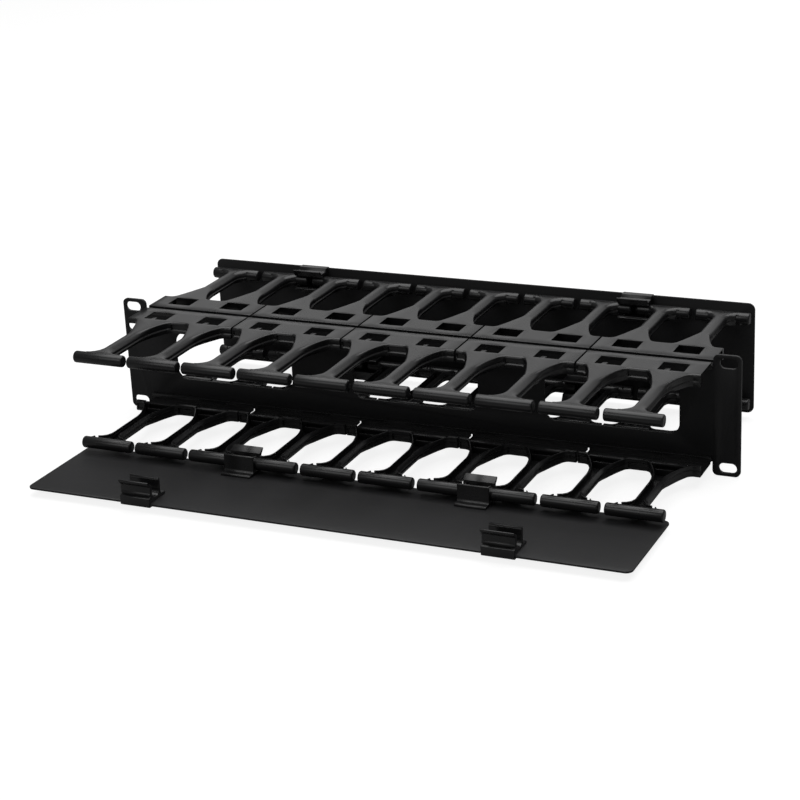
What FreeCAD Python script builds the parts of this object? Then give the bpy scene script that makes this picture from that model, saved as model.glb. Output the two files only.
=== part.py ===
import FreeCAD, Part
import math
import os

os.makedirs("parts", exist_ok=True)
V = FreeCAD.Vector

# Two-unit, double-sided horizontal cable manager for a 19 inch rack.
# Origin: middle of the rack panel's mounting face, between the ears.
# X runs along the panel, -Y is the front of the rack, +Z is up.
# All sizes are in millimetres.

# Rack panel
panel_width = 482.6
panel_height = 88.1
panel_thick = 2.0
ear_width = 19.6
ear_corner = 3.75
slot_inset_x = 8.75
slot_spacing_z = 76.2
middle_slot_z = 22.2
slot_length = 12.7
slot_width = 7.3
pass_height = 37.0
pass_corner = 8.0
pass_bridge = 50.5
pass_margin = 23.45

# Rows of finger mouldings, above and below, in front and behind
row_count = 5
row_end_gap = 0.2
fingers_each = 2
moulding_gap = 0.4
rows_middle_z = 1.5
rows_height = 74.6
web_inset = 1.9

# Root of a moulding: plate, flange on the panel, skirt and arches
plate_thick = 2.6
plate_setback = 1.0
flange_thick = 2.6
flange_depth = 13.0
skirt_depth = 8.6
skirt_wall = 1.6
arch_reach = 28.0
arch_half = 8.0
arch_corner = 4.0
arch_lip = 1.3
window_width = 17.4
window_reach = 14.0
window_start = 10.0
tongue_width = 5.0
tongue_offset = 3.2
tongue_reach = 7.0
pocket_setback = 2.0

# Finger: flared root, hollow shank and round cross-bar
root_reach = 36.0
root_half = 10.0
shank_reach = 51.0
shank_half = 5.0
shank_crown = 2.6
rim_half = 3.0
side_depth = 5.2
channel_wall = 1.4
bar_reach = 104.5
bar_radius = 4.3
bar_gap = 6.3
bar_web = 5.0

# Flats that stand for a round where many pieces are alike
bar_flats = 10
flat_count = 3
bore_flats = 7

# Covers: steel sheets held by moulded clips that hold the cross-bars
cover_inset = 0.6
cover_thick = 1.5
cover_margin = 9.3
cover_corner = 5.0
cover_standoff = 6.9
cover_open_angle = 89.1
notch_depth = 1.2
clip_width = 23.0
clip_side_gap = 0.3
clip_running_gap = 0.55
foot_reach = 12.4
foot_thick = 1.9
arm_top = 7.0
inner_arm_wall = 1.5
outer_arm_wall = 2.6
arm_flare = 0.4
arm_swell = 0.5
lip_reach = 10.2
lip_top = 8.8
lip_thick = 1.3
wrap_thick = 1.5
wrap_under = 4.0
wrap_top = 3.4
wrap_round = 1.0
groove_width = 1.0
groove_cut = 0.5
foot_round = 1.2

# Places that follow from the sizes
web_width = panel_width - 2 * ear_width
slot_spacing_x = panel_width - 2 * slot_inset_x
pass_width = (web_width - 2 * pass_margin - 2 * pass_bridge) / 3
pass_pitch = pass_width + pass_bridge
finger_pitch = (web_width - 2 * row_end_gap) / (row_count * fingers_each)
bar_length = finger_pitch - bar_gap
cover_width = web_width - 2 * row_end_gap - 2 * cover_inset
moulding_width = fingers_each * finger_pitch - moulding_gap
moulding_pitch = fingers_each * finger_pitch
row_half = row_count * moulding_pitch / 2
upper_face_z = rows_middle_z + rows_height / 2
lower_face_z = rows_middle_z - rows_height / 2
bar_tier = rows_height / 2 - bar_radius
front_bar_y = -panel_thick - bar_reach
rear_bar_y = bar_reach
hinge_clip_place = 2 * finger_pitch
latch_clip_place = 3 * finger_pitch


def box(x0, x1, y0, y1, z0, z1):
    return Part.makeBox(x1 - x0, y1 - y0, z1 - z0, V(x0, y0, z0))


def joined(shapes):
    solid = shapes[0].fuse(shapes[1:]) if len(shapes) > 1 else shapes[0]
    return solid.removeSplitter()


def wire(points, lift):
    """Closed outline with its corners rounded: points are (a, b, radius)."""
    count = len(points)
    ends = []
    edges = []
    for i in range(count):
        here = V(points[i][0], points[i][1], 0)
        before = V(points[i - 1][0], points[i - 1][1], 0) - here
        after = V(points[(i + 1) % count][0], points[(i + 1) % count][1], 0) - here
        radius = points[i][2]
        if radius == 0:
            ends.append((here, here))
            continue
        half = before.getAngle(after) / 2
        before.normalize()
        after.normalize()
        run = radius / math.tan(half)
        bisector = before + after
        bisector.normalize()
        middle = here + bisector * (radius / math.sin(half) - radius)
        start = here + before * run
        end = here + after * run
        ends.append((start, end))
        edges.append(Part.Arc(lift(start), lift(middle), lift(end)).toShape())
    for i in range(count):
        start = ends[i][1]
        end = ends[(i + 1) % count][0]
        if start.distanceToPoint(end) > 1e-6:
            edges.append(Part.LineSegment(lift(start), lift(end)).toShape())
    return Part.Wire(Part.__sortEdges__(edges))


def in_flats(points, flats):
    """The same outline, with a few straight flats for each rounded corner."""
    outline = []
    for i, (a, b, radius) in enumerate(points):
        if radius == 0:
            outline.append((a, b, 0))
            continue
        here = V(a, b, 0)
        before = V(points[i - 1][0], points[i - 1][1], 0) - here
        after = V(points[(i + 1) % len(points)][0], points[(i + 1) % len(points)][1], 0) - here
        half = before.getAngle(after) / 2
        before.normalize()
        after.normalize()
        bisector = before + after
        bisector.normalize()
        centre = here + bisector * (radius / math.sin(half))
        start = here + before * (radius / math.tan(half)) - centre
        end = here + after * (radius / math.tan(half)) - centre
        turn = math.pi - 2 * half
        for step in range(flats + 1):
            angle = turn * step / flats
            p = centre + start * (math.sin(turn - angle) / math.sin(turn))
            p += end * (math.sin(angle) / math.sin(turn))
            outline.append((p.x, p.y, 0))
    return outline


def plate_xy(points, z0, z1):
    outline = wire(points, lambda p: V(p.x, p.y, z0))
    return Part.Face(outline).extrude(V(0, 0, z1 - z0))


def plate_xz(points, y0, y1):
    outline = wire(points, lambda p: V(p.x, y0, p.y))
    return Part.Face(outline).extrude(V(0, y1 - y0, 0))


def profile_yz(points, x0, x1):
    outline = wire(points, lambda p: V(x0, p.x, p.y))
    return Part.Face(outline).extrude(V(x1 - x0, 0, 0))


def rectangle(cx, cz, width, height, corner):
    return [
        (cx - width / 2, cz - height / 2, corner),
        (cx + width / 2, cz - height / 2, corner),
        (cx + width / 2, cz + height / 2, corner),
        (cx - width / 2, cz + height / 2, corner),
    ]


def make_panel():
    half = panel_width / 2
    top = panel_height / 2
    inner = half - ear_width
    web_top = upper_face_z - web_inset
    web_bottom = lower_face_z + web_inset
    outline = [
        (-half, -top, ear_corner),
        (-inner, -top, ear_corner),
        (-inner, web_bottom, 0),
        (inner, web_bottom, 0),
        (inner, -top, ear_corner),
        (half, -top, ear_corner),
        (half, top, ear_corner),
        (inner, top, ear_corner),
        (inner, web_top, 0),
        (-inner, web_top, 0),
        (-inner, top, ear_corner),
        (-half, top, ear_corner),
    ]
    panel = plate_xz(in_flats(outline, flat_count), -panel_thick, 0)
    cuts = []
    for i in (-1, 0, 1):
        opening = rectangle(i * pass_pitch, rows_middle_z, pass_width, pass_height, pass_corner)
        opening = in_flats(opening, flat_count)
        cuts.append(plate_xz(opening, -panel_thick, 0))
    slots = [(-slot_spacing_x / 2, middle_slot_z)]
    for side in (-1, 1):
        for level in (-1, 1):
            slots.append((side * slot_spacing_x / 2, level * slot_spacing_z / 2))
    for x, z in slots:
        rounded = rectangle(x, z, slot_length, slot_width, slot_width / 2)
        cuts.append(plate_xz(rounded, -panel_thick, 0))
    return panel.cut(cuts)


def finger_section(depth, half, crown, rim):
    """Outline of a finger across its length: crowned above, hollow below."""
    right = [
        (half - crown, 0),
        (half, -crown),
        (half, -side_depth),
        (rim, -skirt_depth),
        (rim - channel_wall, -skirt_depth),
        (rim - channel_wall, -plate_thick),
    ]
    left = [(-x, z) for x, z in reversed(right)]
    return [V(x, -depth, z) for x, z in right + left]


def flat_loft(sections):
    """Solid through outlines that have as many corners each, with flat sides."""
    faces = []
    for outline in (sections[0], sections[-1]):
        faces.append(Part.Face(Part.makePolygon(outline + [outline[0]])))
    for near, far in zip(sections, sections[1:]):
        for i in range(len(near)):
            a, b, c, d = near[i - 1], near[i], far[i], far[i - 1]
            normal = (b - a).cross(d - a)
            if abs(normal.dot(c - a)) < 1e-6:
                faces.append(Part.Face(Part.makePolygon([a, b, c, d, a])))
            else:
                faces.append(Part.Face(Part.makePolygon([a, b, c, a])))
                faces.append(Part.Face(Part.makePolygon([a, c, d, a])))
    return Part.Solid(Part.Shell(faces))


def make_finger():
    """One finger on the axis x = 0, its outer face at z = 0, the panel face at y = 0."""
    near = bar_reach - bar_radius
    sections = [
        finger_section(root_reach, root_half, arch_lip, root_half),
        finger_section(shank_reach, shank_half, shank_crown, rim_half),
        finger_section(near + 1, shank_half, shank_crown, rim_half),
    ]
    body = flat_loft(sections)
    round_bar = []
    for i in range(bar_flats):
        angle = 2 * math.pi * i / bar_flats
        reach = bar_radius / math.cos(math.pi / bar_flats)
        y = -bar_reach + reach * math.cos(angle)
        z = -bar_radius + reach * math.sin(angle)
        round_bar.append((y, z, 0))
    bar = profile_yz(round_bar, -bar_length / 2, bar_length / 2)
    web = [
        (-shank_half - bar_web, -bar_reach, 0),
        (-shank_half - bar_web, -near, 0),
        (-shank_half, bar_web - near, 0),
        (shank_half, bar_web - near, 0),
        (shank_half + bar_web, -near, 0),
        (shank_half + bar_web, -bar_reach, 0),
    ]
    return body.fuse([plate_xy(web, -2 * bar_radius, 0), bar])


def half_arch(side):
    """Corners of an arch on one side of its middle, from the top out to the flare."""
    flare = finger_pitch / 2 - root_half
    slope = math.atan2(flare - arch_half, root_reach - arch_reach)
    run = arch_corner * math.tan((math.pi / 2 - slope) / 2)
    return [
        (side * (arch_half - run), -arch_reach, 0),
        (side * (arch_half + run * math.sin(slope)), -arch_reach - run * math.cos(slope), 0),
        (side * flare, -root_reach, 0),
    ]


def make_moulding(tongue):
    """Two fingers with their root plate, standing for the row above in front."""
    half = moulding_width / 2
    outline = [(-half, -plate_setback, 0), (half, -plate_setback, 0), (half, -arch_reach, 0)]
    for i in range(fingers_each, -1, -1):
        x = (i - fingers_each / 2) * finger_pitch
        right = [(x + a, b, 0) for a, b, r in reversed(half_arch(1))]
        left = [(x + a, b, 0) for a, b, r in half_arch(-1)]
        outline += (right if i < fingers_each else []) + (left if i > 0 else [])
    outline.append((-half, -arch_reach, 0))
    root = plate_xy(outline, -skirt_depth, 0)
    lip_edges = []
    for edge in root.Edges:
        b = edge.BoundBox
        if b.ZMin > -0.01 and -root_reach + 0.01 < b.YMax < -arch_reach + 0.01:
            lip_edges.append(edge)
    root = root.makeChamfer(arch_lip, lip_edges)
    wall = -arch_reach + skirt_wall
    cuts = [box(-half, half, wall, -plate_setback, -skirt_depth, -plate_thick)]
    flange = box(-half, half, -flange_thick, 0, -flange_depth, -web_inset)
    finger = make_finger()
    pieces = [flange]
    for i in range(fingers_each):
        x = (i - (fingers_each - 1) / 2) * finger_pitch
        w = window_width / 2
        far = -window_start - window_reach
        cuts.append(box(x - w, x + w, far, -window_start, -plate_thick, 0))
        w = root_half - channel_wall
        near = -arch_reach - pocket_setback
        cuts.append(box(x - w, x + w, -root_reach, near, -skirt_depth, -plate_thick))
        piece = finger.copy()
        piece.translate(V(x, 0, 0))
        pieces.append(piece)
        if tongue:
            t = x - tongue_offset - tongue_width / 2
            pieces.append(box(t, t + tongue_width, far, far + tongue_reach, -plate_thick, -plate_thick / 2))
    return joined([root.cut(cuts)] + pieces)


def placed(shape, x, rear, lower):
    """Copy of a front upper shape, turned over for the rear or the lower row."""
    copy = shape.copy()
    if rear:
        copy = copy.mirror(V(0, 0, 0), V(0, 1, 0))
    if lower:
        copy = copy.mirror(V(0, 0, 0), V(0, 0, 1))
    y = 0 if rear else -panel_thick
    z = lower_face_z if lower else upper_face_z
    copy.translate(V(x, y, z))
    return copy


def make_clip():
    """Upper clip of a rear cover, with the cross-bar's axis on the X axis: y runs from
    the bar to the cover, z towards the cover's edge."""
    bore = bar_radius + clip_running_gap
    edge = cover_margin - notch_depth
    back = cover_standoff + cover_thick
    outer = bore + outer_arm_wall
    inner = bore + inner_arm_wall
    foot_top = cover_standoff - foot_thick
    points = [
        (cover_standoff, -foot_reach, 0),
        (cover_standoff, edge, 0),
        (back, edge, 0),
        (back, edge - wrap_under, 0),
        (back + wrap_thick, edge - wrap_under, 0),
        (back + wrap_thick, edge + wrap_thick - wrap_round, 0),
        (back + wrap_thick - wrap_round, edge + wrap_thick, 0),
        (wrap_top, edge + wrap_thick, 0),
        (wrap_top - groove_width, outer - groove_cut, 0),
        (wrap_top - 2 * groove_width, outer + arm_swell, 0),
        (0, outer - groove_cut, 0),
        (-bar_radius / 2, outer, 0),
        (-arm_top + 2 * lip_thick, outer - groove_cut, 0),
        (-lip_top + lip_thick, lip_reach, 0),
        (-lip_top, lip_reach, 0),
        (-arm_top + lip_thick, bore, 0),
        (-arm_top + lip_thick, -bore, 0),
        (-arm_top, -bore - arm_flare, 0),
        (-arm_top, -inner + arm_flare, 0),
        (foot_top - foot_round, -inner, 0),
        (foot_top, -inner - foot_round, 0),
        (foot_top, -foot_reach, 0),
    ]
    mouth = [(-arm_top - lip_top, -bore, 0), (-arm_top - lip_top, bore, 0)]
    for i in range(bore_flats + 1):
        angle = math.pi * (0.5 - i / bore_flats)
        reach = bore if i in (0, bore_flats) else bore / math.cos(math.pi / 2 / bore_flats)
        mouth.append((reach * math.cos(angle), reach * math.sin(angle), 0))
    half = clip_width / 2
    return profile_yz(points, -half, half).cut(profile_yz(mouth, -half, half))


def make_cover():
    """Sheet of a closed rear cover, with the lower cross-bar's axis on the X axis."""
    low = -cover_margin
    high = 2 * bar_tier + cover_margin
    back = cover_standoff + cover_thick
    sheet = rectangle(0, (low + high) / 2, cover_width, high - low, cover_corner)
    half = clip_width / 2 + clip_side_gap
    cuts = []
    for side in (-1, 1):
        x = side * hinge_clip_place
        cuts.append(box(x - half, x + half, cover_standoff, back, low, low + notch_depth))
        x = side * latch_clip_place
        cuts.append(box(x - half, x + half, cover_standoff, back, high - notch_depth, high))
    return plate_xz(in_flats(sheet, flat_count), cover_standoff, back).cut(cuts)


def cover_set():
    """Cover and its four clips, closed at the rear, in the frame of make_cover."""
    clip = make_clip()
    shapes = {"cover": make_cover()}
    for side, hand in ((-1, "left"), (1, "right")):
        hinge = clip.mirror(V(0, 0, 0), V(0, 0, 1))
        hinge.translate(V(side * hinge_clip_place, 0, 0))
        shapes["hinge_clip_" + hand] = hinge
        latch = clip.copy()
        latch.translate(V(side * latch_clip_place, 0, 2 * bar_tier))
        shapes["latch_clip_" + hand] = latch
    return shapes


parts = {"rack_panel": make_panel()}
front_moulding = make_moulding(True)
rear_moulding = make_moulding(False)
for i in range(row_count):
    x = (i - (row_count - 1) / 2) * moulding_pitch
    for side, rear, moulding in (("front", False, front_moulding), ("rear", True, rear_moulding)):
        for tier, lower in (("upper", False), ("lower", True)):
            name = side + "_" + tier + "_fingers_" + str(i + 1)
            parts[name] = placed(moulding, x, rear, lower)

hinge_z = rows_middle_z - bar_tier
for name, shape in cover_set().items():
    rear = shape.copy()
    rear.translate(V(0, rear_bar_y, hinge_z))
    parts["rear_" + name] = rear
    front = shape.mirror(V(0, 0, 0), V(0, 1, 0))
    front.rotate(V(0, 0, 0), V(1, 0, 0), cover_open_angle)
    front.translate(V(0, front_bar_y, hinge_z))
    parts["front_" + name] = front

for name, shape in parts.items():
    solid = shape.Solids[0] if len(shape.Solids) == 1 else shape
    if not solid.isValid() or len(shape.Solids) != 1:
        raise ValueError(name + " is not one valid solid")
    solid.exportStep("parts/" + name + ".step")
    print(name, round(solid.Volume), [round(v, 2) for v in (solid.BoundBox.XMin, solid.BoundBox.XMax, solid.BoundBox.YMin, solid.BoundBox.YMax, solid.BoundBox.ZMin, solid.BoundBox.ZMax)])
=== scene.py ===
# %% [markdown]
# # A two-unit cable manager for a server rack
#
# This lesson dresses the solid model of a horizontal cable manager. On the real
# object a thin steel panel carries four rows of moulded fingers, two in front and
# two behind. Each finger ends in a round cross-bar. Two steel covers are held on the
# bars by moulded clips, and each cover can turn about its lower bars.
#
# The solids are exact in size but faceted, because the same moulding is there
# twenty times. Here each kind of piece is modelled once, with its rounds, and
# copied to the places that the solids give.

import math

import bmesh
import bpy
from mathutils import Matrix, Vector


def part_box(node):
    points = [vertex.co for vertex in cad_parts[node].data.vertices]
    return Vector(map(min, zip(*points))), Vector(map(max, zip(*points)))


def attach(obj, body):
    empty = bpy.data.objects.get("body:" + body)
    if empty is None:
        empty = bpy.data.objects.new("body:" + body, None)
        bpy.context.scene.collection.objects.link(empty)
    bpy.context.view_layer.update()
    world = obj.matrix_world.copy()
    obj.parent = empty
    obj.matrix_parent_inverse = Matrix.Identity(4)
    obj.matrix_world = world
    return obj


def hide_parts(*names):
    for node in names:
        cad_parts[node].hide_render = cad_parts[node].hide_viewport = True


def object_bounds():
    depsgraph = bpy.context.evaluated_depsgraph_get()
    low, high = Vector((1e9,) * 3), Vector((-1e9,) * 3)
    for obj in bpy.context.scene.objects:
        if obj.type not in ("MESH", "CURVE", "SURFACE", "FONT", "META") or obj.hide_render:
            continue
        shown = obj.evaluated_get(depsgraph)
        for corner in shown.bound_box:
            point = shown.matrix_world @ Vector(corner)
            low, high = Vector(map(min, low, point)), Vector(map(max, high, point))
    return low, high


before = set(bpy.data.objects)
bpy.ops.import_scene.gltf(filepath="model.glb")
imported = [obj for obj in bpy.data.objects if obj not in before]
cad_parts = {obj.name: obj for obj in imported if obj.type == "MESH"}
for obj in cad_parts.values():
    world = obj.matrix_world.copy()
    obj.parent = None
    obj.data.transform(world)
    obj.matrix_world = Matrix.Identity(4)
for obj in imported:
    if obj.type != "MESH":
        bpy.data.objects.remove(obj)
cad_low, cad_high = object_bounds()
MM = 0.001
print("solids loaded:", len(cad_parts))

# %% [markdown]
# ## Camera
#
# The object is seen from the front, from the right and a little from above, with
# a long lens. A long lens keeps the rows nearly parallel, as in a catalogue
# picture. The frame is not quite level, so the camera is rolled by a few degrees,
# and its shift moves the object a little off the middle.

# %% Place the camera
CAMERA_PLACE = Vector((577.2, -1285.7, 516.3)) * MM
CAMERA_AZIMUTH = math.radians(-25.57)
CAMERA_DOWN = math.radians(20.62)
CAMERA_ROLL = math.radians(-3.13)

ahead = Vector(
    (
        math.sin(CAMERA_AZIMUTH) * math.cos(CAMERA_DOWN),
        math.cos(CAMERA_AZIMUTH) * math.cos(CAMERA_DOWN),
        -math.sin(CAMERA_DOWN),
    )
)
level = ahead.cross(Vector((0, 0, 1))).normalized()
upward = level.cross(ahead)
right = level * math.cos(CAMERA_ROLL) + upward * math.sin(CAMERA_ROLL)
top = upward * math.cos(CAMERA_ROLL) - level * math.sin(CAMERA_ROLL)

camera_data = bpy.data.cameras.new("catalogue_camera")
camera_data.sensor_width = 36
camera_data.lens = 92.92
camera_data.shift_x = 0.038
camera_data.shift_y = 0.0031
camera_data.clip_start = 0.1
camera_data.clip_end = 20
camera = bpy.data.objects.new("catalogue_camera", camera_data)
camera.matrix_world = Matrix.Translation(CAMERA_PLACE) @ Matrix((right, top, -ahead)).transposed().to_4x4()
bpy.context.scene.collection.objects.link(camera)
bpy.context.scene.camera = camera
bpy.context.scene.view_settings.view_transform = "Standard"
print("camera stands", round(CAMERA_PLACE.length, 3), "m from the panel")

# %% [markdown]
# ## Helpers for modelling
#
# The pieces are modelled as by hand, with edit-mode operators. An operator acts on
# what is selected, so a helper first drops the selection, and another one selects
# vertices, edges or faces by their place. All sizes are written in millimetres.

# %% Selecting and editing


def take(piece):
    """Makes one piece the only selected and the active one."""
    bpy.ops.object.select_all(action="DESELECT")
    piece.select_set(True)
    bpy.context.view_layer.objects.active = piece


def pick(piece, kind, test):
    """In edit mode, selects the vertices, edges or faces whose middle passes the test."""
    mesh = bmesh.from_edit_mesh(piece.data)
    for group in (mesh.verts, mesh.edges, mesh.faces):
        for part in group:
            part.select = False
    mesh.select_mode = {{"verts": "VERT", "edges": "EDGE", "faces": "FACE"}[kind]}
    bpy.context.tool_settings.mesh_select_mode = (kind == "verts", kind == "edges", kind == "faces")
    count = 0
    for part in getattr(mesh, kind):
        if kind == "verts":
            middle = part.co / MM
        elif kind == "edges":
            middle = (part.verts[0].co + part.verts[1].co) / 2 / MM
        else:
            middle = part.calc_center_median() / MM
        if test(middle, part):
            part.select_set(True)
            count += 1
    bmesh.update_edit_mesh(piece.data)
    return count


def shift(x, y, z):
    bpy.ops.transform.translate(value=(x * MM, y * MM, z * MM))


def stretch(x, y, z, about=(0, 0, 0)):
    bpy.ops.transform.resize(value=(x, y, z), center_override=Vector(about) * MM)


def draw_on(x, y, z):
    """Extrudes what is selected and moves it."""
    bpy.ops.mesh.extrude_region_move(TRANSFORM_OT_translate={"value": (x * MM, y * MM, z * MM)})


def score(piece, place, normal, test=lambda m, f: True):
    """Cuts a straight line across the faces that pass the test."""
    pick(piece, "faces", test)
    bpy.ops.mesh.bisect(plane_co=Vector(place) * MM, plane_no=normal)


def finish(piece, *modifiers):
    """Adds modifiers, applies them, and leaves object mode."""
    take(piece)
    for kind, settings in modifiers:
        modifier = piece.modifiers.new(kind.lower(), kind)
        for name, value in settings.items():
            setattr(modifier, name, value)
        bpy.ops.object.modifier_apply(modifier=modifier.name)


def block(name, low, high, edge=0.0, steps=2):
    """A box between two corners, its edges eased by a bevel."""
    low, high = Vector(low), Vector(high)
    bpy.ops.object.select_all(action="DESELECT")
    bpy.ops.mesh.primitive_cube_add(size=MM)
    piece = bpy.context.object
    piece.name = name
    bpy.ops.object.mode_set(mode="EDIT")
    bpy.ops.mesh.select_all(action="SELECT")
    stretch(*(high - low))
    shift(*((high + low) / 2))
    if edge:
        bpy.ops.mesh.bevel(offset=edge * MM, segments=steps, affect="EDGES")
    bpy.ops.object.mode_set(mode="OBJECT")
    return piece


def unite(piece, *others, cut=False):
    """Joins other pieces to this one, or cuts them out of it, and removes them."""
    for other in others:
        finish(
            piece,
            ("BOOLEAN", {"operation": "DIFFERENCE" if cut else "UNION", "solver": "EXACT", "object": other}),
        )
        bpy.data.objects.remove(other)
    return piece


def eased(width):
    """A modifier that eases the sharp edges of a piece."""
    return "BEVEL", {"width": width * MM, "segments": 2, "limit_method": "ANGLE", "angle_limit": math.radians(50)}


def smooth(piece, angle=32):
    take(piece)
    bpy.ops.object.shade_smooth_by_angle(angle=math.radians(angle))


# %% [markdown]
# ## The finger moulding
#
# One moulding has two fingers and the plate that they grow from. It is a shell: a
# skin with a skirt all round, open on the side that faces the cables. The skin is
# drawn 0.8 mm thick, because an inner wall folds over itself where it is thicker
# than the smallest round outside. The moulding could be carved from a
# block, but it is better made as its mould is thought of: the outer skin is drawn
# flat, its edge is rounded, its rim is pulled down for the skirt, and only then
# does the skin get its thickness.
#
# Half of one finger is drawn, from its axis to the middle of the arch beside it.
# Two mirrors make the rest.

# %% Sizes of the moulding, in millimetres
PITCH = 44.3
MODULE_HALF = 43.6
PLATE_NEAR = -1.4
ARCH_TOP = -28.0
ARCH_HALF = 8.0
ARCH_ROUND = 3.0
SKIRT = 8.6
SIDE = 5.6
SLOPE_DEPTH = 0.9
LEDGE_DEPTH = 0.7
DRAFT = 0.6
SKIN = 0.8
BAR_REACH = 104.5
BAR_RADIUS = 4.3
BAR_HALF = 20.1
# Along the finger: reach, half width, round of the edge, part of the width left at the rim
FINGER_LINE = [
    (36.0, 10.0, 0.9, 1.0),
    (40.0, 8.5, 1.0, 0.95),
    (44.0, 7.25, 1.3, 0.86),
    (48.0, 6.3, 1.9, 0.76),
    (52.0, 5.5, 2.9, 0.68),
    (57.0, 5.0, 4.2, 0.62),
    (90.0, 5.0, 4.2, 0.62),
    (93.0, 5.25, 4.1, 0.68),
    (95.8, 6.1, 4.0, 0.78),
    (98.2, 8.0, 3.8, 0.9),
    (99.85, 10.2, 3.6, 1.0),
    (100.4, 12.8, 3.4, 1.0),
    (103.6, 14.6, 3.4, 1.0),
]
WINDOW_HALF = 9.3
WINDOW_NEAR = -9.3
WINDOW_FAR = -24.8
ARCH_EDGE = 1.9
EDGE_STEPS = 5
ROOT_EDGE_REACH = 31.5
ROOT_EDGE = 1.0
# The flare's far edge lies beyond this, inside the bar, and isn't part of the outline
OUTLINE_END = -103.5
# Of the outline's two open ends, the one at the flare lies beyond this
FLARE_CORNER = -100
MIRROR_X = ("MIRROR", {"use_axis": (True, False, False), "merge_threshold": 0.05 * MM})

# %% [markdown]
# The sheet starts as a plane as large as the plate, with straight cuts where the
# window and the arch will be. Its outer edge is pulled out step by
# step into the finger, and made narrower or wider at each step.

# %% Draw half a finger, flat
bpy.ops.object.select_all(action="DESELECT")
bpy.ops.mesh.primitive_plane_add(size=MM)
moulding = bpy.context.object
moulding.name = "moulding"
half_cell = PITCH / 2
bpy.ops.object.mode_set(mode="EDIT")
bpy.ops.mesh.select_all(action="SELECT")
stretch(half_cell, PLATE_NEAR - ARCH_TOP, 1)
shift(half_cell / 2, (PLATE_NEAR + ARCH_TOP) / 2, 0)
arch_side = half_cell - ARCH_HALF
score(moulding, (arch_side, 0, 0), (1, 0, 0))
pick(moulding, "edges", lambda m, e: abs(m.y - ARCH_TOP) < 0.1 and m.x < arch_side)
width = arch_side
reach = -ARCH_TOP
for next_reach, half_width, *_ in FINGER_LINE:
    draw_on(0, reach - next_reach, 0)
    stretch(half_width / width, 1, 1)
    reach, width = next_reach, half_width
pick(
    moulding,
    "verts",
    lambda m, v: abs(m.y - ARCH_TOP) < 0.1 and abs(m.x - arch_side) < 0.1,
)
bpy.ops.mesh.bevel(offset=ARCH_ROUND * MM, segments=6, affect="VERTICES")
print("half a finger drawn with", len(bmesh.from_edit_mesh(moulding.data).verts), "vertices")

# %% [markdown]
# The window is opened while the sheet is flat: three straight cuts across the plate
# mark its sides, and the face between them is deleted.

# %% Cut the window


def on_plate(m, f):
    return m.y > ARCH_TOP


score(moulding, (WINDOW_HALF, 0, 0), (1, 0, 0), on_plate)
score(moulding, (0, WINDOW_NEAR, 0), (0, 1, 0), on_plate)
score(moulding, (0, WINDOW_FAR, 0), (0, 1, 0), on_plate)
pick(moulding, "faces", lambda m, f: m.x < WINDOW_HALF and WINDOW_FAR < m.y < WINDOW_NEAR)
bpy.ops.mesh.delete(type="FACE")
root_end = -FINGER_LINE[0][0]
pick(moulding, "faces", lambda m, f: root_end < m.y < WINDOW_FAR)
bpy.ops.mesh.dissolve_faces(use_verts=False)

# %% [markdown]
# The rounded edge and the skirt follow the arch and the finger. A bevel would need
# one width all along, but the real edge is a small round at the arch and a half
# round on the finger. So the outline is first moved inwards by its own round at
# each corner, and is then extruded outwards and down again in small steps, square
# to itself. Below the round the side goes in a little and out again, which makes a
# fine ledge, and below that the rim is drawn in along the finger, so that the part
# leaves its mould easily.

# %% Note each corner's direction, round and rim
pick(
    moulding,
    "edges",
    lambda m, e: e.is_boundary and m.y < ARCH_TOP + 0.01 and m.x > 0.01 and m.y > OUTLINE_END,
)
mesh = bmesh.from_edit_mesh(moulding.data)
outwards = mesh.verts.layers.float_vector.new("outwards")
place = mesh.verts.layers.float_vector.new("place")
edge_round = mesh.verts.layers.float.new("edge_round")
rim_inset = mesh.verts.layers.float.new("rim_inset")
reaches = [(-ARCH_TOP, ARCH_EDGE, 0.0), (ROOT_EDGE_REACH, ROOT_EDGE, 0.0)]
reaches += [(r, e, w * (1 - rim)) for r, w, e, rim in FINGER_LINE]


def between(reach, column):
    """Value of a column of the list of reaches at any reach, in a straight line between."""
    for a, b in zip(reaches, reaches[1:]):
        if reach <= b[0]:
            part = max(0.0, (reach - a[0]) / (b[0] - a[0]))
            return a[column] + part * (b[column] - a[column])
    return reaches[-1][column]


mesh.normal_update()
for corner in [v for v in mesh.verts if v.select]:
    directions = []
    for side in [e for e in corner.link_edges if e.select]:
        turn = side.link_loops[0]
        along = (turn.link_loop_next.vert.co - turn.vert.co).normalized()
        directions.append(along.cross(turn.face.normal))
    mean = sum(directions, Vector()).normalized()
    corner[outwards] = mean / mean.dot(directions[0])
    corner[edge_round] = between(-corner.co.y / MM, 1)
    corner[rim_inset] = between(-corner.co.y / MM, 2)
    corner[place] = corner.co.copy()
    if abs(corner.co.x - half_cell * MM) < 0.01 * MM:
        corner[outwards] = (0, -1, 0)
    if len(directions) == 1 and corner.co.y < FLARE_CORNER * MM:
        corner[outwards] = (1 / mean.x, 0, 0)


def lay_outline(inwards, down):
    """Puts the outline at a distance inside its own place and below the top."""
    mesh = bmesh.from_edit_mesh(moulding.data)
    for corner in [v for v in mesh.verts if v.select]:
        shift_by = -Vector(corner[outwards]) * inwards(corner) * MM
        corner.co = Vector(corner[place]) + shift_by - Vector((0, 0, down(corner) * MM))
    bmesh.update_edit_mesh(moulding.data)


def next_outline(inwards, down):
    """Extrudes the outline and lays the new one."""
    draw_on(0, 0, 0)
    lay_outline(inwards, down)


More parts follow.
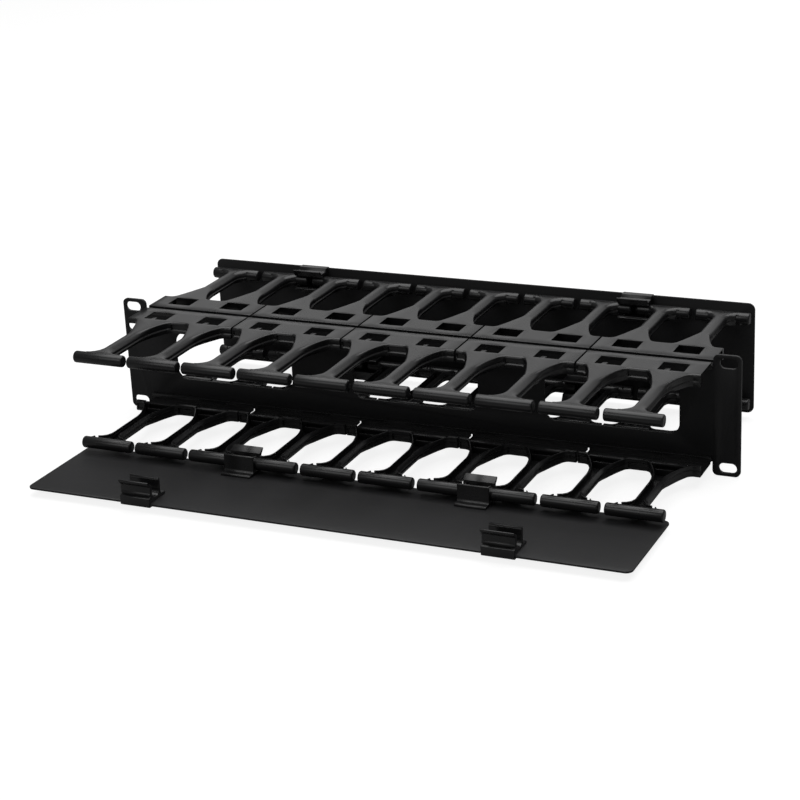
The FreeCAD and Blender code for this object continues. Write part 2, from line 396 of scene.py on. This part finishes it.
# %% Round the edge and pull the skirt down
lay_outline(lambda v: v[edge_round], lambda v: 0)
for step in range(1, EDGE_STEPS + 1):
    turn = math.pi / 2 * step / EDGE_STEPS
    next_outline(lambda v: v[edge_round] * (1 - math.sin(turn)), lambda v: v[edge_round] * (1 - math.cos(turn)))
next_outline(lambda v: DRAFT, lambda v: SIDE - SLOPE_DEPTH)
next_outline(lambda v: 0, lambda v: SIDE)
next_outline(lambda v: 0, lambda v: SIDE + LEDGE_DEPTH)
next_outline(lambda v: v[rim_inset], lambda v: SKIRT)
bpy.ops.object.mode_set(mode="OBJECT")

# %% Mirror the half to a finger, and the finger to a pair
finish(moulding, MIRROR_X)
moulding.data.transform(Matrix.Translation((half_cell * MM, 0, 0)))
take(moulding)
bpy.ops.object.mode_set(mode="EDIT")
bpy.ops.mesh.select_all(action="SELECT")
bpy.ops.mesh.bisect(plane_co=(MODULE_HALF * MM, 0, 0), plane_no=(1, 0, 0), clear_outer=True)
bpy.ops.object.mode_set(mode="OBJECT")
finish(moulding, MIRROR_X)
take(moulding)
bpy.ops.object.mode_set(mode="EDIT")
bpy.ops.mesh.select_all(action="SELECT")
bpy.ops.mesh.normals_make_consistent(inside=False)
bpy.ops.object.mode_set(mode="OBJECT")
highest = max(moulding.data.polygons, key=lambda f: f.center.z + f.area)
if highest.normal.z < 0:
    moulding.data.flip_normals()
finish(
    moulding,
    ("SOLIDIFY", {"thickness": SKIN * MM, "offset": -1, "use_even_offset": True}),
    eased(0.3),
)
print("skin of a moulding:", len(moulding.data.polygons), "faces")

# %% [markdown]
# A bar crosses the end of each finger. It is a cylinder with eased ends. First, a
# small corner is cut from each finger's flare just before the bar, because an open
# cover's clips turn through there. A wall with a pocket then closes each finger's
# hollow, with a low rib beside it. A flange and a seat stand along the panel, and a
# block behind each arch gives the recess in its face something to be cut into.

# %% Make a bar
BAR_EASE = 1.2


def bar(x):
    bpy.ops.object.select_all(action="DESELECT")
    bpy.ops.mesh.primitive_cylinder_add(
        vertices=40, radius=BAR_RADIUS * MM, depth=2 * BAR_HALF * MM, rotation=(0, math.pi / 2, 0)
    )
    piece = bpy.context.object
    bpy.ops.object.transform_apply(location=False, rotation=True, scale=False)
    bpy.ops.object.mode_set(mode="EDIT")
    pick(piece, "faces", lambda m, f: len(f.verts) > 4)
    bpy.ops.mesh.bevel(offset=BAR_EASE * MM, segments=3, affect="EDGES")
    bpy.ops.mesh.select_all(action="SELECT")
    shift(x, -BAR_REACH, -BAR_RADIUS)
    bpy.ops.object.mode_set(mode="OBJECT")
    return piece


# %% Cut the corners for the clips
CLIP_CLEAR = 10.4
BEYOND_FLARE = 17
CORNER_START = -98
CORNER_END = -101.3
corners = []
for side in (-1, 1):
    for hand in (-1, 1):
        near, far = sorted((side * PITCH / 2 + hand * CLIP_CLEAR, side * PITCH / 2 + hand * BEYOND_FLARE))
        corners.append(block("corner", (near, CORNER_END, -10), (far, CORNER_START, 1)))
unite(moulding, *corners, cut=True)

# %% Add the flange, walls and bars
FLANGE_HALF = 44.25
FLANGE_THICK = 2.6
BACKING_HALF = 3.8
WALL_HALF = 12.4
POCKET_HALF = 8.6
RIB_HALF = 9
# Each block is given by two opposite corners, as x, y and z
additions = [
    block("flange", (-FLANGE_HALF, -FLANGE_THICK, -5.2), (FLANGE_HALF, 0, -1.9), 0.3),
    block("seat", (-MODULE_HALF, -FLANGE_THICK, -2.8), (MODULE_HALF, PLATE_NEAR - 0.05, -0.5)),
]
for middle in (-MODULE_HALF + BACKING_HALF, 0, MODULE_HALF - BACKING_HALF):
    half = 2 * BACKING_HALF if middle == 0 else BACKING_HALF
    additions.append(block("backing", (middle - half, -27.3, -8.3), (middle + half, -25.0, -0.6)))
for side in (-1, 1):
    axis = side * PITCH / 2
    wall = block("wall", (axis - WALL_HALF, -30, -8.4), (axis + WALL_HALF, -26.4, -0.8), 0.3)
    pocket = block("pocket", (axis - POCKET_HALF, -31, -7.0), (axis + POCKET_HALF, -27.2, -2.2))
    additions.append(unite(wall, pocket, cut=True))
    additions.append(block("rib", (axis - RIB_HALF, -33.2, -5.4), (axis + RIB_HALF, -31.6, -0.8), 0.3))
    additions.append(bar(axis))
unite(moulding, *additions)

# %% [markdown]
# The arch in the middle of a moulding and the half arch at its left end have a
# shallow recess in their face. The half arch at the right end is plain. With that
# the pattern is done, and its volume is printed, because a boolean that has lost a
# wall shows there at once.

# %% Cut the recesses
RECESS_HALF = 6.9
END_WALL = 0.8
END_RECESS = 7.0
RECESS_TOP = -2.1
RECESS_FOOT = -5.3
LEDGE_SLOPE = 1.8


def recess(low_x, high_x):
    """A shallow recess in the face of an arch, its floor sloping outwards as a ledge."""
    piece = block("recess", (low_x, ARCH_TOP - 0.9, RECESS_FOOT), (high_x, ARCH_TOP + 1.3, RECESS_TOP))
    take(piece)
    bpy.ops.object.mode_set(mode="EDIT")
    pick(piece, "edges", lambda m, e: m.y < ARCH_TOP and m.z < -5)
    shift(0, 0, -LEDGE_SLOPE)
    bpy.ops.object.mode_set(mode="OBJECT")
    return piece


middle_recess = recess(-RECESS_HALF, RECESS_HALF)
end_recess = recess(END_WALL - MODULE_HALF, END_RECESS - MODULE_HALF)
unite(moulding, middle_recess, end_recess, cut=True)
smooth(moulding)
solid = bmesh.new()
solid.from_mesh(moulding.data)
print("moulding:", len(solid.faces), "faces", round(solid.calc_volume() / MM**3), "cubic millimetres")
solid.free()

# %% [markdown]
# The front mouldings have one more detail: a small tongue in each window, a little
# to one side and sloping down at its free end.

# %% A second pattern with tongues
front_moulding = moulding.copy()
front_moulding.data = moulding.data.copy()
bpy.context.scene.collection.objects.link(front_moulding)
TONGUE_OFFSET = 5.4
TONGUE_WIDTH = 3.6
TONGUE_END = -17.5
TONGUE_TILT = 0.5
tongues = []
for side in (-1, 1):
    low = side * PITCH / 2 - TONGUE_OFFSET
    tongue = block("tongue", (low, WINDOW_FAR - 0.7, -1.6), (low + TONGUE_WIDTH, TONGUE_END, -0.8), 0.2)
    take(tongue)
    bpy.ops.object.mode_set(mode="EDIT")
    pick(tongue, "verts", lambda m, v: m.y > -20)
    shift(0, 0, -TONGUE_TILT)
    bpy.ops.object.mode_set(mode="OBJECT")
    tongues.append(tongue)
unite(front_moulding, *tongues)
smooth(front_moulding)

# %% [markdown]
# Each row of the real object has five mouldings. A copy with its own mesh goes to
# each place. The rear rows and the lower rows are turned over by a mirror, which
# turns a mesh inside out, so its faces are flipped back. The first upper moulding
# in front is cut short beside the ear, so that the ear's middle slot stays open.

# %% Put twenty mouldings in their places
SHORT_END = 7.2
SHORT_SKIRT = 4.4
mouldings = []
for row_side in ("front", "rear"):
    for tier in ("upper", "lower"):
        for number in range(1, 6):
            node = f"{row_side}_{tier}_fingers_{number}"
            low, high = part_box(node)
            pattern = front_moulding if row_side == "front" else moulding
            piece = bpy.data.objects.new(f"moulded_{node}", pattern.data.copy())
            bpy.context.scene.collection.objects.link(piece)
            over_y = 1 if row_side == "front" else -1
            over_z = 1 if tier == "upper" else -1
            piece.data.transform(Matrix.Diagonal((1, over_y, over_z, 1)))
            if over_y * over_z < 0:
                piece.data.flip_normals()
            face = high.z if tier == "upper" else low.z
            seat = high.y if row_side == "front" else low.y
            piece.data.transform(Matrix.Translation(((low.x + high.x) / 2, seat, face)))
            if node == "front_upper_fingers_1":
                end, crest = low.x / MM, face / MM
                opened = block("opened", (end - 1, -33, crest - 9), (end + SHORT_END, -25, crest - SHORT_SKIRT))
                unite(piece, opened, cut=True)
            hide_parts(node)
            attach(piece, "frame")
            mouldings.append(piece)
bpy.data.objects.remove(moulding)
bpy.data.objects.remove(front_moulding)
print("mouldings placed:", len(mouldings))

# %% [markdown]
# ## The rack panel
#
# The panel is laser-cut from 2 mm sheet and powder coated. Its ears carry slots with
# round ends for the rack's screws, two on each side and one more on the left. It
# starts as a block as large as the sheet. The strips above and below the web, the
# openings and the slots are cut out with blocks whose edges through the sheet have
# been rounded first.

# %% Cut the panel


def cutter(low, high, corner):
    """A block for cutting through the sheet, with its four long corners rounded."""
    piece = block("cutter", low, high)
    take(piece)
    bpy.ops.object.mode_set(mode="EDIT")
    pick(piece, "edges", lambda m, e: abs(m.y - (low[1] + high[1]) / 2) < 0.01)
    bpy.ops.mesh.bevel(offset=corner * MM, segments=10, affect="EDGES", clamp_overlap=False)
    bpy.ops.mesh.select_all(action="SELECT")
    bpy.ops.mesh.remove_doubles(threshold=0.01 * MM)
    bpy.ops.object.mode_set(mode="OBJECT")
    return piece


panel_low, panel_high = (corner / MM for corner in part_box("rack_panel"))
EAR = 19.6
WEB_TOP = 35.4
WEB_BOTTOM = -33.9
EAR_ROUND = 3.75
SHEET_EASE = 0.35
OPENING_PITCH = 149.0
OPENING_HALF = 49.25
OPENING_LOW = -17
OPENING_HIGH = 20
OPENING_ROUND = 8
SLOT_X = 232.55
SLOT_Z = 38.1
MIDDLE_SLOT_Z = 22.2
SLOT_HALF = 6.35
SLOT_RADIUS = 3.65
# A hair under the radius: the rounds don't overlap, and the strip left between is merged
SLOT_ROUND = 3.649
SHEET_MIDDLE = -1
panel = block("sheet_panel", panel_low, panel_high)
take(panel)
bpy.ops.object.mode_set(mode="EDIT")
pick(panel, "edges", lambda m, e: abs(abs(m.x) - panel_high.x) < 0.01 and abs(m.y - SHEET_MIDDLE) < 0.01)
bpy.ops.mesh.bevel(offset=EAR_ROUND * MM, segments=8, affect="EDGES")
bpy.ops.object.mode_set(mode="OBJECT")
inner = panel_high.x - EAR
for low, high in (
    ((-inner, -5, WEB_TOP), (inner, 5, 50)),
    ((-inner, -5, -50), (inner, 5, WEB_BOTTOM)),
):
    unite(panel, block("notch", low, high), cut=True)
for column in (-1, 0, 1):
    middle = column * OPENING_PITCH
    low, high = (middle - OPENING_HALF, -5, OPENING_LOW), (middle + OPENING_HALF, 5, OPENING_HIGH)
    unite(panel, cutter(low, high, OPENING_ROUND), cut=True)
slots = [(-SLOT_X, MIDDLE_SLOT_Z)] + [(a * SLOT_X, b * SLOT_Z) for a in (-1, 1) for b in (-1, 1)]
for x, z in slots:
    low, high = (x - SLOT_HALF, -5, z - SLOT_RADIUS), (x + SLOT_HALF, 5, z + SLOT_RADIUS)
    unite(panel, cutter(low, high, SLOT_ROUND), cut=True)
take(panel)
bpy.ops.object.mode_set(mode="EDIT")
pick(
    panel,
    "edges",
    lambda m, e: abs(abs(m.x) - inner) < 0.01
    and abs(m.y - SHEET_MIDDLE) < 0.01
    and abs(abs(m.z) - panel_high.z) < 0.01,
)
bpy.ops.mesh.bevel(offset=EAR_ROUND * MM, segments=8, affect="EDGES")
bpy.ops.object.mode_set(mode="OBJECT")
finish(panel, eased(SHEET_EASE))
smooth(panel, 40)
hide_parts("rack_panel")
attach(panel, "frame")
print("panel:", len(panel.data.polygons), "faces")

# %% [markdown]
# ## The covers
#
# A cover is a plain sheet with round corners and four shallow notches, in which
# its clips sit. The rear cover stands upright. It is cut like the panel. The front
# cover is the same sheet, mirrored to the front and folded down.

# %% Sizes that the covers and clips share
COVER_HALF = 220.9
COVER_NEAR = 6.9
COVER_SHEET = 1.5
COVER_MARGIN = 9.3
COVER_ROUND = 5.0
NOTCH = 1.2
TIER = 66.0
CLIP_HALF = 11.5
CLIP_GAP = 0.3
HINGE_PLACE = 88.6
LATCH_PLACE = 132.9
OPEN_ANGLE = math.radians(89.1)
rear_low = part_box("rear_cover")[0] / MM
HINGE_Z = rear_low.z + COVER_MARGIN
REAR_BAR_Y = rear_low.y - COVER_NEAR
PANEL_THICK = 2
FRONT_BAR_Y = -PANEL_THICK - REAR_BAR_Y
print("hinge axis at height", round(HINGE_Z, 2), "rear", round(REAR_BAR_Y, 2), "front", round(FRONT_BAR_Y, 2))

# %% Cut the cover, with its lower bar's axis on the x axis
cover_top = TIER + COVER_MARGIN
cover = cutter(
    (-COVER_HALF, COVER_NEAR, -COVER_MARGIN), (COVER_HALF, COVER_NEAR + COVER_SHEET, cover_top), COVER_ROUND
)
cover.name = "sheet_cover"
room = CLIP_HALF + CLIP_GAP
for side in (-1, 1):
    x = side * HINGE_PLACE
    unite(cover, block("notch", (x - room, 0, -20), (x + room, 20, NOTCH - COVER_MARGIN)), cut=True)
    x = side * LATCH_PLACE
    unite(cover, block("notch", (x - room, 0, cover_top - NOTCH), (x + room, 20, 90)), cut=True)
finish(cover, eased(SHEET_EASE))
smooth(cover, 40)

# %% [markdown]
# ## The clips
#
# A clip is a short length of a moulded profile. It grips the cover's edge with a
# hook, lies along the sheet with a flat foot, and holds a bar between two arms. The
# profile is drawn point by point, filled, and pulled out to its length. The bore
# for the bar is cut with a true cylinder.

# %% Draw the clip's profile and pull it out
BORE = 4.75
EDGE = COVER_MARGIN - NOTCH
BACK = COVER_NEAR + COVER_SHEET
OUTER = 7.45
INNER = 6.35
# Away from the bar towards the cover, and towards the cover's edge
CLIP_LINE = [
    (COVER_NEAR, -12.4),
    (COVER_NEAR, EDGE),
    (BACK, EDGE),
    (BACK, EDGE - 4.0),
    (BACK + 1.5, EDGE - 4.0),
    (BACK + 1.5, EDGE + 0.7),
    (BACK + 0.9, EDGE + 1.4),
    (BACK, EDGE + 1.6),
    (3.4, EDGE + 1.6),
    (3.0, EDGE + 1.2),
    (2.4, OUTER - 0.5),
    (1.7, OUTER - 0.4),
    (1.4, OUTER + 0.5),
    (0.4, OUTER + 0.2),
    (0.0, OUTER - 0.3),
    (-2.1, OUTER),
    (-4.4, OUTER - 0.3),
    (-6.2, 9.0),
    (-7.5, 10.2),
    (-8.5, 10.2),
    (-8.8, 9.6),
    (-5.7, BORE),
    (-5.7, -BORE),
    (-6.6, -BORE - 0.1),
    (-7.0, -BORE - 0.5),
    (-7.0, -INNER + 0.5),
    (-6.6, -INNER),
    (3.4, -INNER),
    (4.3, -INNER - 0.3),
    (4.8, -INNER - 0.8),
    (5.0, -INNER - 1.6),
    (5.0, -11.4),
    (5.3, -12.1),
    (6.0, -12.4),
]
bpy.ops.object.select_all(action="DESELECT")
bpy.ops.mesh.primitive_plane_add(size=MM)
clip = bpy.context.object
clip.name = "clip"
bpy.ops.object.mode_set(mode="EDIT")
pick(clip, "verts", lambda m, v: True)
bpy.ops.mesh.merge(type="CENTER")
y, z = CLIP_LINE[0]
shift(-CLIP_HALF, y, z)
for next_y, next_z in CLIP_LINE[1:]:
    draw_on(0, next_y - y, next_z - z)
    y, z = next_y, next_z
bpy.ops.mesh.select_all(action="SELECT")
bpy.ops.mesh.edge_face_add()
draw_on(2 * CLIP_HALF, 0, 0)
bpy.ops.mesh.select_all(action="SELECT")
bpy.ops.mesh.normals_make_consistent(inside=False)
bpy.ops.object.mode_set(mode="OBJECT")

# %% Cut the mouth for the bar
bpy.ops.object.select_all(action="DESELECT")
bpy.ops.mesh.primitive_cylinder_add(
    vertices=64, radius=BORE * MM, depth=3 * CLIP_HALF * MM, rotation=(0, math.pi / 2, 0)
)
bore = bpy.context.object
bpy.ops.object.transform_apply(location=False, rotation=True, scale=False)
mouth = block("mouth", (-20, -12, -BORE + 0.001), (20, 0, BORE - 0.001))
unite(clip, bore, mouth, cut=True)
finish(clip, eased(0.25))
smooth(clip, 40)
print("clip:", len(clip.data.polygons), "faces")

# %% [markdown]
# A cover and its four clips are first put together as they stand at the rear. The
# set is then moved to the rear bars. A second set is mirrored to the front and
# turned down about the front bars by almost a right angle.

# %% Place both cover sets
to_rear = Matrix.Translation(Vector((0, REAR_BAR_Y, HINGE_Z)) * MM)
to_front = (
    Matrix.Translation(Vector((0, FRONT_BAR_Y, HINGE_Z)) * MM)
    @ Matrix.Rotation(OPEN_ANGLE, 4, "X")
    @ Matrix.Diagonal((1, -1, 1, 1))
)
set_parts = [(cover, Matrix.Identity(4), "cover", "cover_steel")]
for side, hand in ((-1, "left"), (1, "right")):
    hinge = Matrix.Translation(Vector((side * HINGE_PLACE, 0, 0)) * MM) @ Matrix.Diagonal((1, 1, -1, 1))
    latch = Matrix.Translation(Vector((side * LATCH_PLACE, 0, TIER)) * MM)
    set_parts.append((clip, hinge, f"hinge_clip_{hand}", "clip_plastic"))
    set_parts.append((clip, latch, f"latch_clip_{hand}", "clip_plastic"))
cover_pieces = []
for set_side, place in (("front", to_front), ("rear", to_rear)):
    for pattern, within, name, slot in set_parts:
        node = f"{set_side}_{name}"
        piece = bpy.data.objects.new(f"formed_{node}", pattern.data.copy())
        bpy.context.scene.collection.objects.link(piece)
        whole = place @ within
        piece.data.transform(whole)
        if whole.determinant() < 0:
            piece.data.flip_normals()
        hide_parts(node)
        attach(piece, f"{set_side}_cover_set")
        cover_pieces.append(piece)
bpy.data.objects.remove(cover)
bpy.data.objects.remove(clip)
print("cover pieces placed:", len(cover_pieces))

# %% [markdown]
# ## Finishes
#
# A material is a small tree of nodes. One function adds a node with its settings
# and its links, and another turns a colour written in hex to the linear values
# that a shader works with.

# %% Helpers for materials


def linear(code):
    values = [int(code[i : i + 2], 16) / 255 for i in (1, 3, 5)]
    return [v / 12.92 if v <= 0.04045 else ((v + 0.055) / 1.055) ** 2.4 for v in values] + [1]


def add(tree, kind, links=(), **settings):
    """Adds a node. A setting that names an input sets its value; links feed inputs."""
    node = tree.nodes.new(kind)
    for name, value in settings.items():
        if hasattr(node, name):
            setattr(node, name, value)
        else:
            node.inputs[name.replace("_", " ")].default_value = value
    for socket, source in links:
        tree.links.new(source, node.inputs[socket])
    return node


def new_material(name):
    material = bpy.data.materials.new(name)
    material.use_nodes = True
    material.node_tree.nodes.clear()
    return material, material.node_tree


def black_finish(name, shades, grain_mm, grain_height, rough, patch_mm, index):
    """A dark finish: slow changes of shade, a fine grain, and uneven gloss."""
    material, tree = new_material(name)
    place = add(tree, "ShaderNodeTexCoord").outputs["Object"]
    patches = add(tree, "ShaderNodeTexNoise", [("Vector", place)], Scale=1 / (patch_mm * MM), Detail=3.0)
    ramp = add(tree, "ShaderNodeValToRGB", [("Fac", patches.outputs["Fac"])])
    ramp.color_ramp.elements[0].position = 0.3
    ramp.color_ramp.elements[0].color = linear(shades[0])
    ramp.color_ramp.elements[1].position = 0.7
    ramp.color_ramp.elements[1].color = linear(shades[1])
    gloss = add(tree, "ShaderNodeMapRange", [("Value", patches.outputs["Fac"])])
    gloss.inputs["To Min"].default_value = rough[0]
    gloss.inputs["To Max"].default_value = rough[1]
    grain = add(tree, "ShaderNodeTexNoise", [("Vector", place)], Scale=1 / (grain_mm * MM), Detail=2.0)
    bump = add(
        tree, "ShaderNodeBump", [("Height", grain.outputs["Fac"])], Strength=0.6, Distance=grain_height * MM
    )
    shader = add(
        tree,
        "ShaderNodeBsdfPrincipled",
        [
            ("Base Color", ramp.outputs["Color"]),
            ("Roughness", gloss.outputs["Result"]),
            ("Normal", bump.outputs["Normal"]),
        ],
        IOR=index,
    )
    add(tree, "ShaderNodeOutputMaterial", [("Surface", shader.outputs["BSDF"])])
    return material


# %% [markdown]
# The sheet parts are steel with a satin black powder coat. Powder melts into a film
# with a faint orange peel about a millimetre across, so a highlight on it is soft
# and a little mottled. Its index is that of a polyester film, 1.5.

# %% Powder coat
powder_coat = black_finish(
    "powder_coat_satin_black", ("#131314", "#18181a"), 1.1, 0.03, (0.42, 0.52), 60, 1.5
)
cover_coat = black_finish(
    "powder_coat_matt_black", ("#131314", "#18181a"), 1.0, 0.03, (0.5, 0.6), 70, 1.5
)

# %% [markdown]
# The fingers and clips are moulded ABS and polycarbonate, with a spark-eroded
# grain of a few tenths of a millimetre. The grain is drawn a little coarser so
# that it shows. The index of such a blend is about 1.55.

# %% Moulded plastic
moulded_plastic = black_finish(
    "moulded_abs_black", ("#151516", "#1b1b1c"), 0.6, 0.02, (0.24, 0.32), 25, 1.55
)
clip_plastic = black_finish(
    "moulded_nylon_black", ("#141415", "#1a1a1b"), 0.6, 0.02, (0.24, 0.32), 18, 1.53
)

for piece in mouldings:
    piece.data.materials.clear()
    piece.data.materials.append(moulded_plastic)
panel.data.materials.clear()
panel.data.materials.append(powder_coat)
for piece in cover_pieces:
    piece.data.materials.clear()
    piece.data.materials.append(cover_coat if piece.name.endswith("cover") else clip_plastic)
for name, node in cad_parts.items():
    finish_for = powder_coat if name == "rack_panel" else cover_coat if name.endswith("cover") else moulded_plastic
    node.data.materials.clear()
    node.data.materials.append(finish_for)

# %% [markdown]
# ## Floor and light
#
# A white floor runs on behind the object. It shows white to the camera and keeps
# the object's soft shadow. The light is plain: a broad lamp overhead, a weaker one
# behind that gives the tops their sheen, a small one in front that opens the
# shadows, and an even, dim sky that is white to the camera alone.

# %% Floor
FLOOR_GAP = 0.2
EAR_FOOT = -44.05
FLOOR_Z = min(cad_low.z, EAR_FOOT * MM) - FLOOR_GAP * MM
bpy.ops.object.select_all(action="DESELECT")
bpy.ops.mesh.primitive_plane_add(size=12, location=(0, 0, FLOOR_Z))
floor = bpy.context.object
floor.name = "white_floor"
floor_material, tree = new_material("white_paper")
rays = add(tree, "ShaderNodeLightPath")
paper = add(tree, "ShaderNodeBsdfDiffuse", Color=linear("#8c8c8c"))
glow = add(tree, "ShaderNodeEmission", [("Strength", rays.outputs["Is Camera Ray"])], Color=(0.86, 0.86, 0.86, 1))
both = add(tree, "ShaderNodeAddShader", [(0, paper.outputs["BSDF"]), (1, glow.outputs["Emission"])])
add(tree, "ShaderNodeOutputMaterial", [("Surface", both.outputs["Shader"])])
floor.data.materials.append(floor_material)

# %% Sky and lamps
world = bpy.data.worlds.new("studio")
bpy.context.scene.world = world
world.use_nodes = True
tree = world.node_tree
tree.nodes.clear()
rays = add(tree, "ShaderNodeLightPath")
strength = add(tree, "ShaderNodeMapRange", [("Value", rays.outputs["Is Camera Ray"])])
strength.inputs["To Min"].default_value = 0.12
strength.inputs["To Max"].default_value = 1.0
sky = add(tree, "ShaderNodeBackground", [("Strength", strength.outputs["Result"])], Color=(1, 1, 1, 1))
add(tree, "ShaderNodeOutputWorld", [("Surface", sky.outputs["Background"])])


def lamp(name, place, aim, size, watts):
    data = bpy.data.lights.new(name, "AREA")
    data.shape = "RECTANGLE"
    data.size, data.size_y = size
    data.energy = watts
    light = bpy.data.objects.new(name, data)
    light.location = place
    light.visible_camera = False
    light.rotation_euler = (Vector(aim) - Vector(place)).to_track_quat("-Z", "Y").to_euler()
    bpy.context.scene.collection.objects.link(light)


lamp("overhead", (0, 0.35, 1.7), (0, 0.1, 0), (2.4, 2.2), 34)
lamp("back_wall", (0, 2.6, 0.9), (0, 0, 0.1), (4.0, 1.4), 8)
lamp("front_fill", (-0.6, -1.8, 1.3), (0, 0, 0), (1.4, 1.0), 5)
